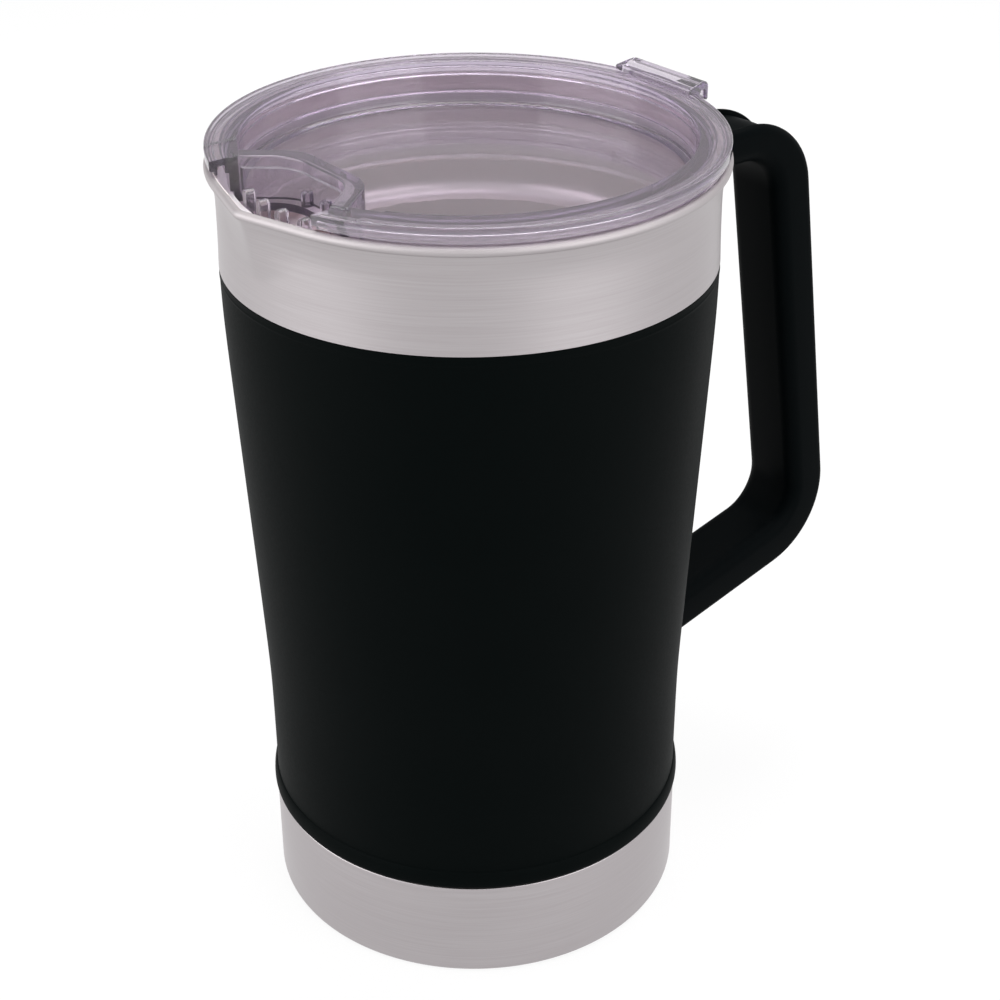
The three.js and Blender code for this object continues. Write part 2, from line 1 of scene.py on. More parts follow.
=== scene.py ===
import math
import bmesh
import bpy
import numpy as np
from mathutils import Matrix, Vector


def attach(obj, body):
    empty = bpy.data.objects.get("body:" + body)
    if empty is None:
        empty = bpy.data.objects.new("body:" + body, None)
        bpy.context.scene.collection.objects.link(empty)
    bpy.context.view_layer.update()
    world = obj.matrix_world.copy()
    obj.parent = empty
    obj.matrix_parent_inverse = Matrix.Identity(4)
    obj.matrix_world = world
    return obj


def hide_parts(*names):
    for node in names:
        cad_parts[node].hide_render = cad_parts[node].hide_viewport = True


# Thermal jug: black coated steel body, bare steel collar and foot, moulded handle, clear lid.
# Sizes are millimetres in the jug's own frame: axis on Z, handle along +X, spout along -X.
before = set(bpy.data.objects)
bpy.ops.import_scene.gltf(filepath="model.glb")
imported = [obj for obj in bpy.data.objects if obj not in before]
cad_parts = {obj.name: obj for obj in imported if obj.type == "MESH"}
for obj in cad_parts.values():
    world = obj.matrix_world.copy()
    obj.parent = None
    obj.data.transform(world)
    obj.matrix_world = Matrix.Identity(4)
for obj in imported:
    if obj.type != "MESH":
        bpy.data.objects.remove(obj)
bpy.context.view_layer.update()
print("frame:", len(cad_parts), "nodes")

mm = 0.001
fullTurn = 2 * math.pi


# Equal steps of angle, once round.
def roundAngles(count):
    return np.arange(count) * fullTurn / count


# Rounded edge in steps of a quarter circle, from the side to the top: how far each step is below the top,
# and how far it has moved outwards, which is less than nothing.
def quarterRound(edge, steps=6):
    swing = np.radians(np.linspace(0, 90, steps))
    return edge * (1 - np.sin(swing)), edge * (np.cos(swing) - 1)


# Outline with rounded corners. The arc at a corner touches both edges: its centre lies on the bisector,
# radius / sin(half angle) from the corner, and it is divided into equal steps of angle.
def roundedOutline(corners, radii, steps=6):
    p = np.asarray(corners, float)
    r = np.broadcast_to(np.asarray(radii, float), p.shape[:-1])
    back = np.roll(p, 1, -2) - p
    ahead = np.roll(p, -1, -2) - p
    back /= np.linalg.norm(back, axis=-1, keepdims=True)
    ahead /= np.linalg.norm(ahead, axis=-1, keepdims=True)
    half = np.arccos(np.clip((back * ahead).sum(-1), -1, 1)) / 2
    bisector = (back + ahead) / np.linalg.norm(back + ahead, axis=-1, keepdims=True)
    centre = p + bisector * (r / np.sin(half))[..., None]
    reach = (r / np.tan(half))[..., None]
    first = p + back * reach - centre
    last = p + ahead * reach - centre
    sweep = (math.pi - 2 * half)[..., None]
    t = np.linspace(0, 1, steps + 1)
    a = np.sin((1 - t) * sweep) / np.sin(sweep)
    b = np.sin(t * sweep) / np.sin(sweep)
    arcs = centre[..., None, :] + first[..., None, :] * a[..., None] + last[..., None, :] * b[..., None]
    return arcs.reshape(*p.shape[:-2], -1, 2)


# Turned surface: each (radius, height) of the profile goes round the axis through the angles.
def turned(profile, angles):
    r = profile[:, :1]
    z = np.broadcast_to(profile[:, 1:], (len(profile), len(angles)))
    return np.stack([r * np.cos(angles), r * np.sin(angles), z], -1)


# Upright skin over a closed plan outline: one row for each height, moved outwards by that row's grow
# along the outline's own normals.
def upright(outline, heights, grow):
    along = np.roll(outline, -1, 0) - np.roll(outline, 1, 0)
    along /= np.maximum(np.linalg.norm(along, axis=1, keepdims=True), 1e-9)
    x, y = outline.T
    turn = np.sign((x * np.roll(y, -1) - y * np.roll(x, -1)).sum())
    normal = np.stack([along[:, 1], -along[:, 0]], -1) * turn
    plan = outline[None] + normal[None] * np.asarray(grow, float)[:, None, None]
    z = np.broadcast_to(np.asarray(heights, float)[:, None, None], (*plan.shape[:2], 1))
    return np.concatenate([plan, z], -1)


# Quads between neighbouring points of a grid in millimetres. A wrapped side meets its own start, poles and
# doubles are merged, open ends get one flat face, and the faces are turned outwards.
def gridMesh(name, grid, wrapRows=True, wrapColumns=True):
    index = np.arange(grid[..., 0].size).reshape(grid.shape[:2])
    index = np.concatenate([index, index[:1]], 0) if wrapRows else index
    index = np.concatenate([index, index[:, :1]], 1) if wrapColumns else index
    quads = np.stack([index[:-1, :-1], index[:-1, 1:], index[1:, 1:], index[1:, :-1]], -1)
    mesh = bpy.data.meshes.new(name)
    mesh.from_pydata((grid.reshape(-1, 3) * mm).tolist(), [], quads.reshape(-1, 4).tolist())
    return closedMesh(mesh)


def closedMesh(mesh, sharpAngle=32):
    work = bmesh.new()
    work.from_mesh(mesh)
    bmesh.ops.remove_doubles(work, verts=work.verts, dist=2e-6)
    bmesh.ops.holes_fill(work, edges=work.edges, sides=0)
    bmesh.ops.recalc_face_normals(work, faces=work.faces)
    if work.calc_volume(signed=True) < 0:
        bmesh.ops.reverse_faces(work, faces=work.faces)
    work.to_mesh(mesh)
    work.free()
    mesh.polygons.foreach_set("use_smooth", np.ones(len(mesh.polygons), bool))
    mesh.set_sharp_from_angle(angle=math.radians(sharpAngle))
    return mesh


# One solid joined to another or cut by it, as one closed mesh.
def carved(mesh, operation, tool):
    pair = [bpy.data.objects.new("carving", m) for m in (mesh, tool)]
    for item in pair:
        bpy.context.scene.collection.objects.link(item)
    cut = pair[0].modifiers.new("carve", "BOOLEAN")
    cut.object, cut.operation, cut.solver = pair[1], operation, "MANIFOLD"
    depsgraph = bpy.context.evaluated_depsgraph_get()
    made = bpy.data.meshes.new_from_object(pair[0].evaluated_get(depsgraph))
    for item in pair:
        bpy.data.objects.remove(item)
    return made


def addPiece(name, mesh, body, slot, material, *nodes):
    piece = bpy.data.objects.new(name, mesh)
    bpy.context.scene.collection.objects.link(piece)
    mesh.materials.clear()
    mesh.materials.append(material)
    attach(piece, body)
    if nodes:
        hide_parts(*nodes)
    print("piece:", name, len(mesh.polygons), "faces")
    return piece


# sRGB hex to linear colour.
def toLinear(hexCode):
    c = np.array([int(hexCode[i:i + 2], 16) for i in (1, 3, 5)]) / 255
    return (*np.where(c <= 0.04045, c / 12.92, ((c + 0.055) / 1.055) ** 2.4), 1.0)


# Adds a node. An input given as another node's output is linked, any other is set.
def addNode(tree, kind, inputs=None, **settings):
    node = tree.nodes.new(kind)
    for key, value in settings.items():
        setattr(node, key, value)
    for key, value in (inputs or {}).items():
        if isinstance(value, bpy.types.NodeSocket):
            tree.links.new(value, node.inputs[key])
        else:
            node.inputs[key].default_value = value
    return node


def newMaterial(name):
    material = bpy.data.materials.new(name)
    material.use_nodes = True
    material.node_tree.nodes.clear()
    return material, material.node_tree


# Noise on the piece's own coordinates, its patches a size in millimetres.
def grainNoise(tree, size, detail):
    place = addNode(tree, "ShaderNodeTexCoord").outputs["Object"]
    noise = addNode(tree, "ShaderNodeTexNoise", {"Vector": place, "Scale": 1 / (size * mm), "Detail": detail})
    return noise.outputs["Fac"]


# Colour between two hex tones, which the factor reaches at the ends of a span.
def toneRamp(tree, factor, dark, light, span=(0, 1)):
    ramp = addNode(tree, "ShaderNodeValToRGB", {"Fac": factor})
    for element, position, tone in zip(ramp.color_ramp.elements, span, (dark, light)):
        element.position, element.color = position, toLinear(tone)
    return ramp.outputs["Color"]


def spreadOver(tree, factor, low, high):
    return addNode(tree, "ShaderNodeMapRange", {"Value": factor, "To Min": low, "To Max": high}).outputs["Result"]


# Bump with a height in millimetres.
def bumpFrom(tree, factor, strength, height):
    bump = addNode(tree, "ShaderNodeBump", {"Height": factor, "Strength": strength, "Distance": height * mm})
    return bump.outputs["Normal"]


# Surface led to the material's output, with any other output beside it.
def finishSurface(tree, inputs, **others):
    skin = addNode(tree, "ShaderNodeBsdfPrincipled", inputs)
    addNode(tree, "ShaderNodeOutputMaterial", {"Surface": skin.outputs["BSDF"], **others})


# Black polyester powder coat, sprayed and baked on steel: almost no gloss, a fine orange peel of about
# 0.9 mm and a faint cloudiness a few centimetres wide.
def powderCoat():
    material, tree = newMaterial("powderCoat")
    peel = grainNoise(tree, 0.9, 2.0)
    cloud = grainNoise(tree, 35, 3.0)
    finishSurface(tree, {
        "Base Color": toneRamp(tree, cloud, "#010404", "#030606"), "Roughness": spreadOver(tree, peel, 0.5, 0.62),
        "Normal": bumpFrom(tree, peel, 0.12, 0.05), "Specular IOR Level": 0.026})
    return material


# Stainless steel brushed round the body: belt marks a few centimetres long and 0.2 mm apart, drawn at
# 0.4 mm so that they show. They spread a reflection up and down and leave it narrow sideways. Faces with
# the mark "inside" get a pale colour, painted light that stands in for the light inside the jug, and the mark "matt"
# makes them dull.
def brushedSteel(name, dark, light, roughness, paintedLightInside="#f3eded", dullest=0.9):
    material, tree = newMaterial(name)
    place = addNode(tree, "ShaderNodeTexCoord").outputs["Object"]
    stretch = addNode(tree, "ShaderNodeMapping", {"Vector": place, "Scale": (0.012, 0.012, 1.0)})
    marks = addNode(tree, "ShaderNodeTexNoise", {
        "Vector": stretch.outputs["Vector"], "Scale": 1 / (0.4 * mm), "Detail": 3.0, "Roughness": 0.6}).outputs["Fac"]
    inside = addNode(tree, "ShaderNodeAttribute", attribute_name="inside").outputs["Fac"]
    matt = addNode(tree, "ShaderNodeAttribute", attribute_name="matt").outputs["Fac"]
    # A face marked inside takes the pale colour: painted light for the light inside the jug.
    tone = addNode(tree, "ShaderNodeMixRGB", {
        "Fac": inside, "Color1": toneRamp(tree, marks, dark, light, (0.3, 0.7)), "Color2": toLinear(paintedLightInside)})
    dull = addNode(tree, "ShaderNodeMath", {
        0: spreadOver(tree, matt, roughness, dullest), 1: spreadOver(tree, marks, -0.05, 0.07)}, operation="ADD")
    finishSurface(tree, {
        "Base Color": tone.outputs["Color"], "Metallic": 1.0, "Roughness": dull.outputs[0],
        "Normal": bumpFrom(tree, marks, 0.12, 0.02)})
    return material


# Stainless weld bead, left as it froze: bright, lumpy and a little tinted by the heat.
def weldedSteel():
    material, tree = newMaterial("weldedSteel")
    lumps = grainNoise(tree, 1.1, 3.0)
    finishSurface(tree, {
        "Base Color": toneRamp(tree, lumps, "#e4dadb", "#fbf4f5"), "Metallic": 1.0, "Roughness": 0.36,
        "Normal": bumpFrom(tree, lumps, 0.4, 0.2)})
    return material


# Black polypropylene from a spark-eroded mould: satin, with a grain of about 0.35 mm, drawn at 0.6 mm.
def mouldedBlack():
    material, tree = newMaterial("mouldedBlack")
    grain = grainNoise(tree, 0.6, 3.0)
    finishSurface(tree, {
        "Base Color": toneRamp(tree, grain, "#010304", "#030607"), "Roughness": spreadOver(tree, grain, 0.42, 0.56),
        "Normal": bumpFrom(tree, grain, 0.15, 0.05), "Specular IOR Level": 0.02})
    return material


# Clear styrene copolymer, injection moulded with a mauve tint: thin walls look almost clear, and edges
# seen along the wall turn violet because the colour is in the depth. A slight haze scatters a little of the
# light. Flow lines about 9 mm apart.
def clearMauve():
    material, tree = newMaterial("clearMauve")
    flow = grainNoise(tree, 9, 2.0)
    depth = addNode(tree, "ShaderNodeVolumeAbsorption", {"Color": toLinear("#ae94c0"), "Density": 95.0})
    finishSurface(tree, {
        "Base Color": toLinear("#f5f1f4"), "Roughness": spreadOver(tree, flow, 0.0, 0.01),
        "Normal": bumpFrom(tree, flow, 0.06, 0.2), "IOR": 1.54, "Transmission Weight": 0.925},
        Volume=depth.outputs["Volume"])
    return material


# Moulded silicone without pigment: milky, a little frosted, with dust in its surface.
def softSilicone():
    material, tree = newMaterial("softSilicone")
    dust = grainNoise(tree, 1.5, 4.0)
    finishSurface(tree, {
        "Base Color": toneRamp(tree, dust, "#e6e1e3", "#f0ecee"), "Roughness": spreadOver(tree, dust, 0.25, 0.4),
        "IOR": 1.41, "Transmission Weight": 0.15})
    return material


# Metals out of sight: rolled copper foil with its creases, zinc plate with its spangle, sintered getter.
def hiddenMetal(name, dark, light, roughness, grain, crease):
    material, tree = newMaterial(name)
    mottle = grainNoise(tree, grain, 3.0)
    finishSurface(tree, {
        "Base Color": toneRamp(tree, mottle, dark, light), "Metallic": 1.0, "Roughness": roughness,
        "Normal": bumpFrom(tree, mottle, crease, 0.2)})
    return material


coat = powderCoat()
steel = brushedSteel("brushedSteel", "#a9a3a5", "#b1acae", 0.38)
# Liner steel paler than real steel: painted light that stands in for the light reaching the inside of the jug.
linerSteelPaintedLight = brushedSteel("linerSteelPaintedLight", "#f2eaea", "#f5eeee", 0.42)
weld = weldedSteel()
black = mouldedBlack()
clear = clearMauve()
silicone = softSilicone()
copper = hiddenMetal("copperFoil", "#a9663f", "#c98a63", 0.3, 4.0, 0.5)
zinc = hiddenMetal("zincPlate", "#a6a8ad", "#c0c2c6", 0.4, 1.5, 0.1)
sinter = hiddenMetal("sinteredGetter", "#47484b", "#66676b", 0.75, 0.6, 0.6)
print("materials made")

jugWall = dict(footRadius=64.15, mouthRadius=70.5, taperFoot=74.0, taperTop=198.0, blend=9.0, thickness=0.6)


# Outside of the coated wall at a height: two cylinders and the cone between them. A soft ramp
# (t + sqrt(t^2 + blend^2)) / 2 starts the slope at the cone's foot and stops it at its top.
def wallRadius(z):
    ramp = lambda t: (t + np.hypot(t, jugWall["blend"])) / 2
    rise = (jugWall["mouthRadius"] - jugWall["footRadius"]) / (jugWall["taperTop"] - jugWall["taperFoot"])
    return jugWall["footRadius"] + rise * (ramp(z - jugWall["taperFoot"]) - ramp(z - jugWall["taperTop"]))


shell = dict(foot=33.0, top=211.3, beadWidest=34.4, beadTop=38.8, beadProud=1.15, beadShape=0.6,
             seamHeight=209.1, seamProud=0.1, seamWidth=0.35, edge=0.15, segments=288)


# Coated shell: the wall line plus a half-ellipse bead at its foot and a low bell-shaped ridge where the
# welded seam shows through the coat; the inside is the same line less the sheet's thickness.
def shellSkin():
    s = shell
    z = np.concatenate([np.linspace(s["foot"] + s["edge"], s["beadTop"] + 0.4, 34),
                        np.linspace(s["beadTop"] + 1, s["seamHeight"] - 2, 70),
                        np.linspace(s["seamHeight"] - 1.5, s["top"] - s["edge"], 26)])
    reach = np.where(z < s["beadWidest"], s["beadWidest"] - s["foot"], s["beadTop"] - s["beadWidest"])
    bead = np.clip(1 - ((z - s["beadWidest"]) / reach) ** 2, 0, 1) ** s["beadShape"] * s["beadProud"]
    seam = s["seamProud"] * np.exp(-((z - s["seamHeight"]) / s["seamWidth"]) ** 2)
    outside = np.stack([wallRadius(z) + bead + seam, z], -1)
    rim = np.array([[wallRadius(s["top"]) - s["edge"], s["top"]]])
    zIn = np.linspace(s["top"], s["foot"], 40)
    inside = np.stack([wallRadius(zIn) - jugWall["thickness"], zIn], -1)
    angles = roundAngles(s["segments"])
    return gridMesh("shellSkin", turned(np.concatenate([outside, rim, inside]), angles))


addPiece("shellSkin", shellSkin(), "jug", "black_coat", coat, "outer_shell")

foot = dict(radius=64.6, height=32.7, corner=1.8, neck=63.25, neckTop=45.7, ringInner=55.2, wall=0.6,
            recess=1.5, dimple=6.0, dimpleRise=1.5, port=1.5, capRadius=54.9, capThickness=0.9, capEdge=0.35,
            rings=(18, 34, 50), ringDepth=0.12, ringWidth=0.9, segments=288)


# Bare cup at the foot: a drawn cup with a rounded bottom corner, a neck inside the shell, a standing ring
# and a dished middle with the evacuation port, as one turned outline.
def footCup():
    f = foot
    inside, floor, top = f["radius"] - f["wall"], f["recess"] + f["wall"], f["recess"] + f["dimpleRise"]
    corners = np.array([
        (f["ringInner"] + 1, 0, 0.4), (f["radius"], 0, f["corner"]), (f["radius"], f["height"], 0.3),
        (f["neck"], f["height"], 0.1), (f["neck"], f["neckTop"], 0.2), (f["neck"] - f["wall"], f["neckTop"], 0.2),
        (f["neck"] - f["wall"], f["height"] - f["wall"], 0.1), (inside, f["height"] - 2 * f["wall"], 0.1),
        (inside, f["wall"], f["corner"] - f["wall"]), (f["ringInner"] + 1, f["wall"], 0.4),
        (f["ringInner"], floor, 0.4), (f["dimple"] + f["wall"], floor, 0.4), (f["dimple"], top + f["wall"], 0.3),
        (f["port"], top + f["wall"], 0.05), (f["port"], top, 0.05), (f["dimple"] - f["wall"], top, 0.3),
        (f["dimple"], f["recess"], 0.3), (f["ringInner"], f["recess"], 0.3)])
    angles = roundAngles(f["segments"])
    return gridMesh("footCup", turned(roundedOutline(corners[:, :2], corners[:, 2], 5), angles))


# Cap over the port: a disc with a rounded rim and three shallow turned rings pressed into its face.
def footCap():
    f = foot
    r = np.linspace(0, f["capRadius"] - 0.4, 120)
    ring = f["ringDepth"] * sum(np.exp(-((r - at) / f["ringWidth"]) ** 2) for at in f["rings"])
    under, steps = np.stack([r, ring], -1), 5
    rim = roundedOutline([(0, 0), (f["capRadius"], 0), (f["capRadius"], f["capThickness"]), (0, f["capThickness"])],
                         [0, f["capEdge"], f["capEdge"], 0], steps)
    profile = np.concatenate([under, rim[steps + 1:]])
    angles = roundAngles(f["segments"] // 2)
    return gridMesh("footCap", turned(profile, angles), wrapRows=False)


addPiece("footCup", footCup(), "jug", "steel", steel, "base_cup")
addPiece("footCap", footCap(), "jug", "steel", steel, "base_cap")

mouth = dict(foot=211.5, top=241.5, radius=70.5, narrow=70.1, waist=230.5, beadRadius=1.35, beadMiddle=71.22,
             beadRoll=(-84, 205), beadMatt=0.4, inwards=-0.5, wall=0.6, spoutDepth=20.5, spoutProud=3.0,
             creaseSoft=0.012, creaseSoftLow=0.05, columns=480)


# Growth of the round collar at an angle from the spout's middle: two flats that meet in a crease, which
# leans out as 1 - below^2 towards the lip. Angle is softened as sqrt(angle^2 + soft^2).
def spoutPush(angle, z):
    m = mouth
    below = np.clip((m["top"] - z) / m["spoutDepth"], 0, 1)
    spread = np.arccos(1 / (1 + m["spoutProud"] / m["radius"] * (1 - below ** 2)))
    soft = np.hypot(angle, m["creaseSoft"] + (m["creaseSoftLow"] - m["creaseSoft"]) * below)
    return 1 / np.cos(np.clip(spread - soft, 0, None))


# Collar: a slight waist with parabolas below and above it, a rolled bead of 290 degrees at the lip, and the
# inside a sheet's thickness in. Columns crowd towards the crease as t/4 + 3/4 t^3. Faces that look inwards
# are marked for a pale colour, painted light that stands in for the light inside the jug, and for a matt finish; the
# bead is marked partly matt.
def mouthCollar():
    m = mouth
    z = np.linspace(m["foot"], m["top"] - 2 * m["beadRadius"], 44)
    low = ((m["waist"] - z) / (m["waist"] - m["foot"])) ** 2 * (m["radius"] - m["narrow"])
    high = ((z - m["waist"]) / (z[-1] - m["waist"])) ** 2 * (m["beadMiddle"] - m["narrow"])
    r = m["narrow"] + np.where(z < m["waist"], low, high)
    roll = np.radians(np.linspace(*m["beadRoll"], 30))
    bead = np.stack([m["beadMiddle"] + m["beadRadius"] * np.cos(roll),
                     m["top"] - m["beadRadius"] + m["beadRadius"] * np.sin(roll)], -1)
    inside = np.stack([r - m["wall"], z], -1)[-2::-1]
    profile = np.concatenate([np.stack([r, z], -1), bead, inside])
    t = np.linspace(-1, 1, m["columns"], endpoint=False)
    angle = math.pi * (t / 4 + 3 * t ** 3 / 4)
    grid = turned(profile, math.pi + angle)
    grid[..., :2] *= spoutPush(angle[None], profile[:, 1:])[..., None]
    mesh = gridMesh("mouthCollar", grid)
    centre, normal = np.empty((2, len(mesh.polygons), 3), np.float32)
    mesh.polygons.foreach_get("center", centre.reshape(-1))
    mesh.polygons.foreach_get("normal", normal.reshape(-1))
    # Inward faces get painted light: a pale colour that stands in for the light inside the jug.
    facing = (centre[:, :2] * normal[:, :2]).sum(1) < m["inwards"] * np.hypot(centre[:, 0], centre[:, 1])
    onBead = ~facing & (centre[:, 2] > (m["top"] - 2 * m["beadRadius"]) * mm)
    for label, mark in (("inside", facing), ("matt", np.where(onBead, m["beadMatt"], facing))):
        mesh.attributes.new(label, "FLOAT", "FACE").data.foreach_set("value", mark.astype(np.float32))
    return mesh


addPiece("mouthCollar", mouthCollar(), "jug", "steel", steel, "collar")

vessel = dict(rim=212.6, rimRadius=69.6, wall=0.6, shoulder=200.7, sweep=6.0, inset=6.5, floor=16.0, corner=12.0,
              segments=288, weldRadius=69.15, weldHeight=212.75, weldSize=0.85, weldRipple=0.08, weldWander=0.12,
              weldPitch=1.4)


# Inner vessel: floor with a round corner, wall a fixed distance inside the shell's, a quarter-ellipse
# hollow above the shoulder and a straight rim; the outside follows a sheet's thickness out.
def innerVessel():
    v = vessel
    neck = wallRadius(v["shoulder"] - v["sweep"]) - v["inset"]
    turnHeight, reach = v["shoulder"] + v["sweep"], v["rimRadius"] - v["wall"] - neck
    down = np.radians(np.linspace(-90, 0, 16))
    z = np.linspace(v["floor"] + v["corner"], v["shoulder"] - v["sweep"], 60)
    middle = wallRadius(v["floor"] + v["corner"]) - v["inset"] - v["corner"]
    bowl = np.stack([middle + v["corner"] * np.cos(down), v["floor"] + v["corner"] * (1 + np.sin(down))], -1)
    wall = np.stack([wallRadius(z) - v["inset"], z], -1)
    hollow = np.stack([neck + reach * np.cos(down), turnHeight + v["sweep"] * np.sin(down)], -1)
    inner = np.concatenate([[(0, v["floor"])], bowl, wall[1:], hollow, [(v["rimRadius"] - v["wall"], v["rim"])]])
    outHollow = [(v["rimRadius"], v["rim"]), (v["rimRadius"], turnHeight - v["wall"]),
                 (v["rimRadius"] - v["wall"], v["shoulder"] - v["wall"] / 2),
                 (neck + v["wall"], v["shoulder"] - v["wall"])]
    outBowl = bowl + v["wall"] * np.stack([np.cos(down), np.sin(down)], -1)
    outer = np.concatenate([outHollow, (wall + (v["wall"], 0))[::-1], outBowl[-2::-1], [(0, v["floor"] - v["wall"])]])
    angles = roundAngles(v["segments"])
    return gridMesh("innerVessel", turned(np.concatenate([inner, outer]), angles), wrapRows=False)


# Weld between the vessel's rim and the collar: a torus whose thickness swells with each overlapping
# puddle and wanders by a few slow waves.
def rimWeld():
    v = vessel
    count = 2 * int(fullTurn * v["weldRadius"] / v["weldPitch"]) * 3
    angle = roundAngles(count)
    puddles = np.abs(np.sin(angle * int(math.pi * v["weldRadius"] / v["weldPitch"])))
    wander = sum(np.sin(angle * n + n * n) / n ** 0.5 for n in (7, 19, 43, 71)) / 2
    size = v["weldSize"] + v["weldRipple"] * (puddles + wander)
    around = np.linspace(0, fullTurn, 10, endpoint=False)
    r = v["weldRadius"] + v["weldWander"] * wander[None] + size[None] * np.cos(around)[:, None]
    z = v["weldHeight"] + size[None] * np.sin(around)[:, None]
    return gridMesh("rimWeld", np.stack([r * np.cos(angle), r * np.sin(angle), z], -1))


addPiece("innerVessel", innerVessel(), "jug", "liner_steel", linerSteelPaintedLight, "inner_liner")
addPiece("rimWeld", rimWeld(), "jug", "liner_steel", weld)

handle = dict(corners=[(63.5, 222.8), (117.0, 222.8), (140.38, 77.4), (57.15, 57.586)], bend=20.3,
              thickness=(11.9, 14.8, 15.2), width=23.4, innerCorner=5.0, outerCorner=2.8, opening=17.0, ledge=3.6,
              ledgeEnd=0.03, ledgeRun=1.0, ledgeRound=0.4, coverWidth=16.4, coverThickness=2.0, coverRecess=1.3,
              coverCrown=0.25, coverGap=0.3, topInset=17.9, lowInset=18.2, gap=0.3, rootRows=(0, 11, 12.5, 14, 15.5),
              stepRows=(-1.2, 1.8), farRows=(4, 8))


# Middle line of the handle in the XZ plane: straight runs joined by arcs of the bend radius. Each station
# has a place, a heading, a thickness and its length from the root. Rows crowd where the recess ends.
def handleLine():
    h = handle
    corners = np.array(h["corners"])
    runs = np.diff(corners, axis=0)
    headings = runs / np.linalg.norm(runs, axis=1, keepdims=True)
    turns = np.arccos((headings[:-1] * headings[1:]).sum(1))
    trims = h["bend"] * np.tan(turns / 2)
    crowd = np.concatenate([np.linspace(*h["stepRows"], 13), h["farRows"]])
    lead = np.concatenate([h["rootRows"], h["topInset"] + crowd])
    tail = np.linalg.norm(runs[2]) - np.concatenate([h["rootRows"], h["lowInset"] + crowd])[::-1]
    k = np.linspace(0, 1, 22)
    place, heading, thick = [corners[0] + headings[0] * lead[:, None]], [np.tile(headings[0], (len(lead), 1))], []
    thick.append(np.full(len(lead), h["thickness"][0]))
    for i in (0, 1):
        across = np.array([headings[i][1], -headings[i][0]])
        centre = corners[i + 1] - headings[i] * trims[i] + across * h["bend"]
        angle = turns[i] * k[:, None]
        t = headings[i] * np.cos(angle) + across * np.sin(angle)
        place.append(centre + np.stack([-t[:, 1], t[:, 0]], -1) * h["bend"])
        heading.append(t)
        ease = k * k * (3 - 2 * k)
        thick.append(h["thickness"][i] + (h["thickness"][i + 1] - h["thickness"][i]) * ease)
    place.append(corners[2] + headings[2] * tail[:, None])
    heading.append(np.tile(headings[2], (len(tail), 1)))
    thick.append(np.full(len(tail), h["thickness"][2]))
    place = np.concatenate(place)
    steps = np.linalg.norm(np.diff(place, axis=0), axis=1)
    return place, np.concatenate(heading), np.concatenate(thick), np.concatenate([[0], np.cumsum(steps)])


# Section points (across, outward) at stations of the line, as places in the jug's frame.
def alongHandle(place, heading, section):
    u, w = section[..., 0], section[..., 1]
    x = place[:, :1] - heading[:, 1:] * w
    z = place[:, 1:] + heading[:, :1] * w
    return np.stack([x, u, z], -1)


# An end ring slid along its arm until each point lies on the coated wall, then drawn in to a point there.
def armFoot(place, heading, section):
    shrink = np.array([0, 0.3, 0.6, 0.9, 1])[:, None, None]
    ring = alongHandle(place[None], heading[None], section[None] * shrink)
    for _ in range(3):
        wall = np.sqrt((wallRadius(ring[..., 2]) + handle["gap"]) ** 2 - ring[..., 1] ** 2)
        slide = (wall - ring[..., 0]) / heading[0]
        ring = ring + slide[..., None] * np.array([heading[0], 0, heading[1]])
    return ring


# Handle: a rounded section carried along the line. A step for the cover is sunk into its outer face, and
# its depth rises over about a millimetre at each end.
def handleBody():
    h = handle
    place, heading, thick, length = handleLine()
    within = np.minimum(length - h["topInset"], length[-1] - h["lowInset"] - length)
    rise = np.clip(within / h["ledgeRun"] + 0.5, 0, 1)
    rise = rise * rise * (3 - 2 * rise)
    depth = h["ledgeEnd"] + (h["ledge"] - h["ledgeEnd"]) * rise
    half, side, zero = h["width"] / 2, thick / 2, np.zeros_like(thick)
    lip = h["opening"] / 2 + zero
    corners = np.stack([
        np.stack([zero - half, -side], -1), np.stack([zero + half, -side], -1), np.stack([zero + half, side], -1),
        np.stack([lip, side], -1), np.stack([lip, side - depth], -1), np.stack([-lip, side - depth], -1),
        np.stack([-lip, side], -1), np.stack([zero - half, side], -1)], 1)
    ledgeRound = np.minimum(h["ledgeRound"], depth / 2.5)
    inner, outer = zero + h["innerCorner"], zero + h["outerCorner"]
    radii = np.stack([inner, inner, outer, *[ledgeRound] * 4, outer], 1)
    section = roundedOutline(corners, radii, 8)
    grid = alongHandle(place[1:-1], heading[1:-1], section[1:-1])
    first = armFoot(place[0], heading[0], section[0])
    last = armFoot(place[-1], heading[-1], section[-1])[::-1]
    return gridMesh("handleBody", np.concatenate([first, grid, last]), wrapRows=False)


# Cover strip: a flat section with rounded edges and a slight crown, carried along the same line between
# the ends of the step.
def handleCover():
    h = handle
    place, heading, thick, length = handleLine()
    start, end = h["topInset"] + h["coverGap"], length[-1] - h["lowInset"] - h["coverGap"]
    inside = (length > start) & (length < end)
    place, heading, thick = place[inside], heading[inside], thick[inside]
    half, zero = h["coverWidth"] / 2, np.zeros_like(thick)
    top = thick / 2 - h["coverRecess"]
    low, side = top - h["coverThickness"], top - h["coverCrown"]
    corners = np.stack([
        np.stack([zero - half, low], -1), np.stack([zero + half, low], -1), np.stack([zero + half, side], -1),
        np.stack([zero, top], -1), np.stack([zero - half, side], -1)], 1)
    section = roundedOutline(corners, [0.2, 0.2, 0.7, 60.0, 0.7], 8)
    return gridMesh("handleCover", alongHandle(place, heading, section), wrapRows=False)


addPiece("handleBody", handleBody(), "jug", "handle_plastic", black, "handle_body")
addPiece("handleCover", handleCover(), "jug", "handle_plastic", black, "handle_cover")

lid = dict(level=241.5, flangeTop=5.15, flangeFoot=1.55, flangeRadius=72.1, trayRadius=63.1, seatRadius=70.7,
           seat=0.3, plugRadius=66.6, grooveRadius=65.6, grooveTop=-4.9, grooveFoot=-9.1, plugFoot=-10.2,
           trayFloor=-8.0, trayFillet=2.2, edge=0.8, innerEdge=0.45, channelInner=67.6, channelOuter=69.8,
           channelTop=2.7, segments=288)


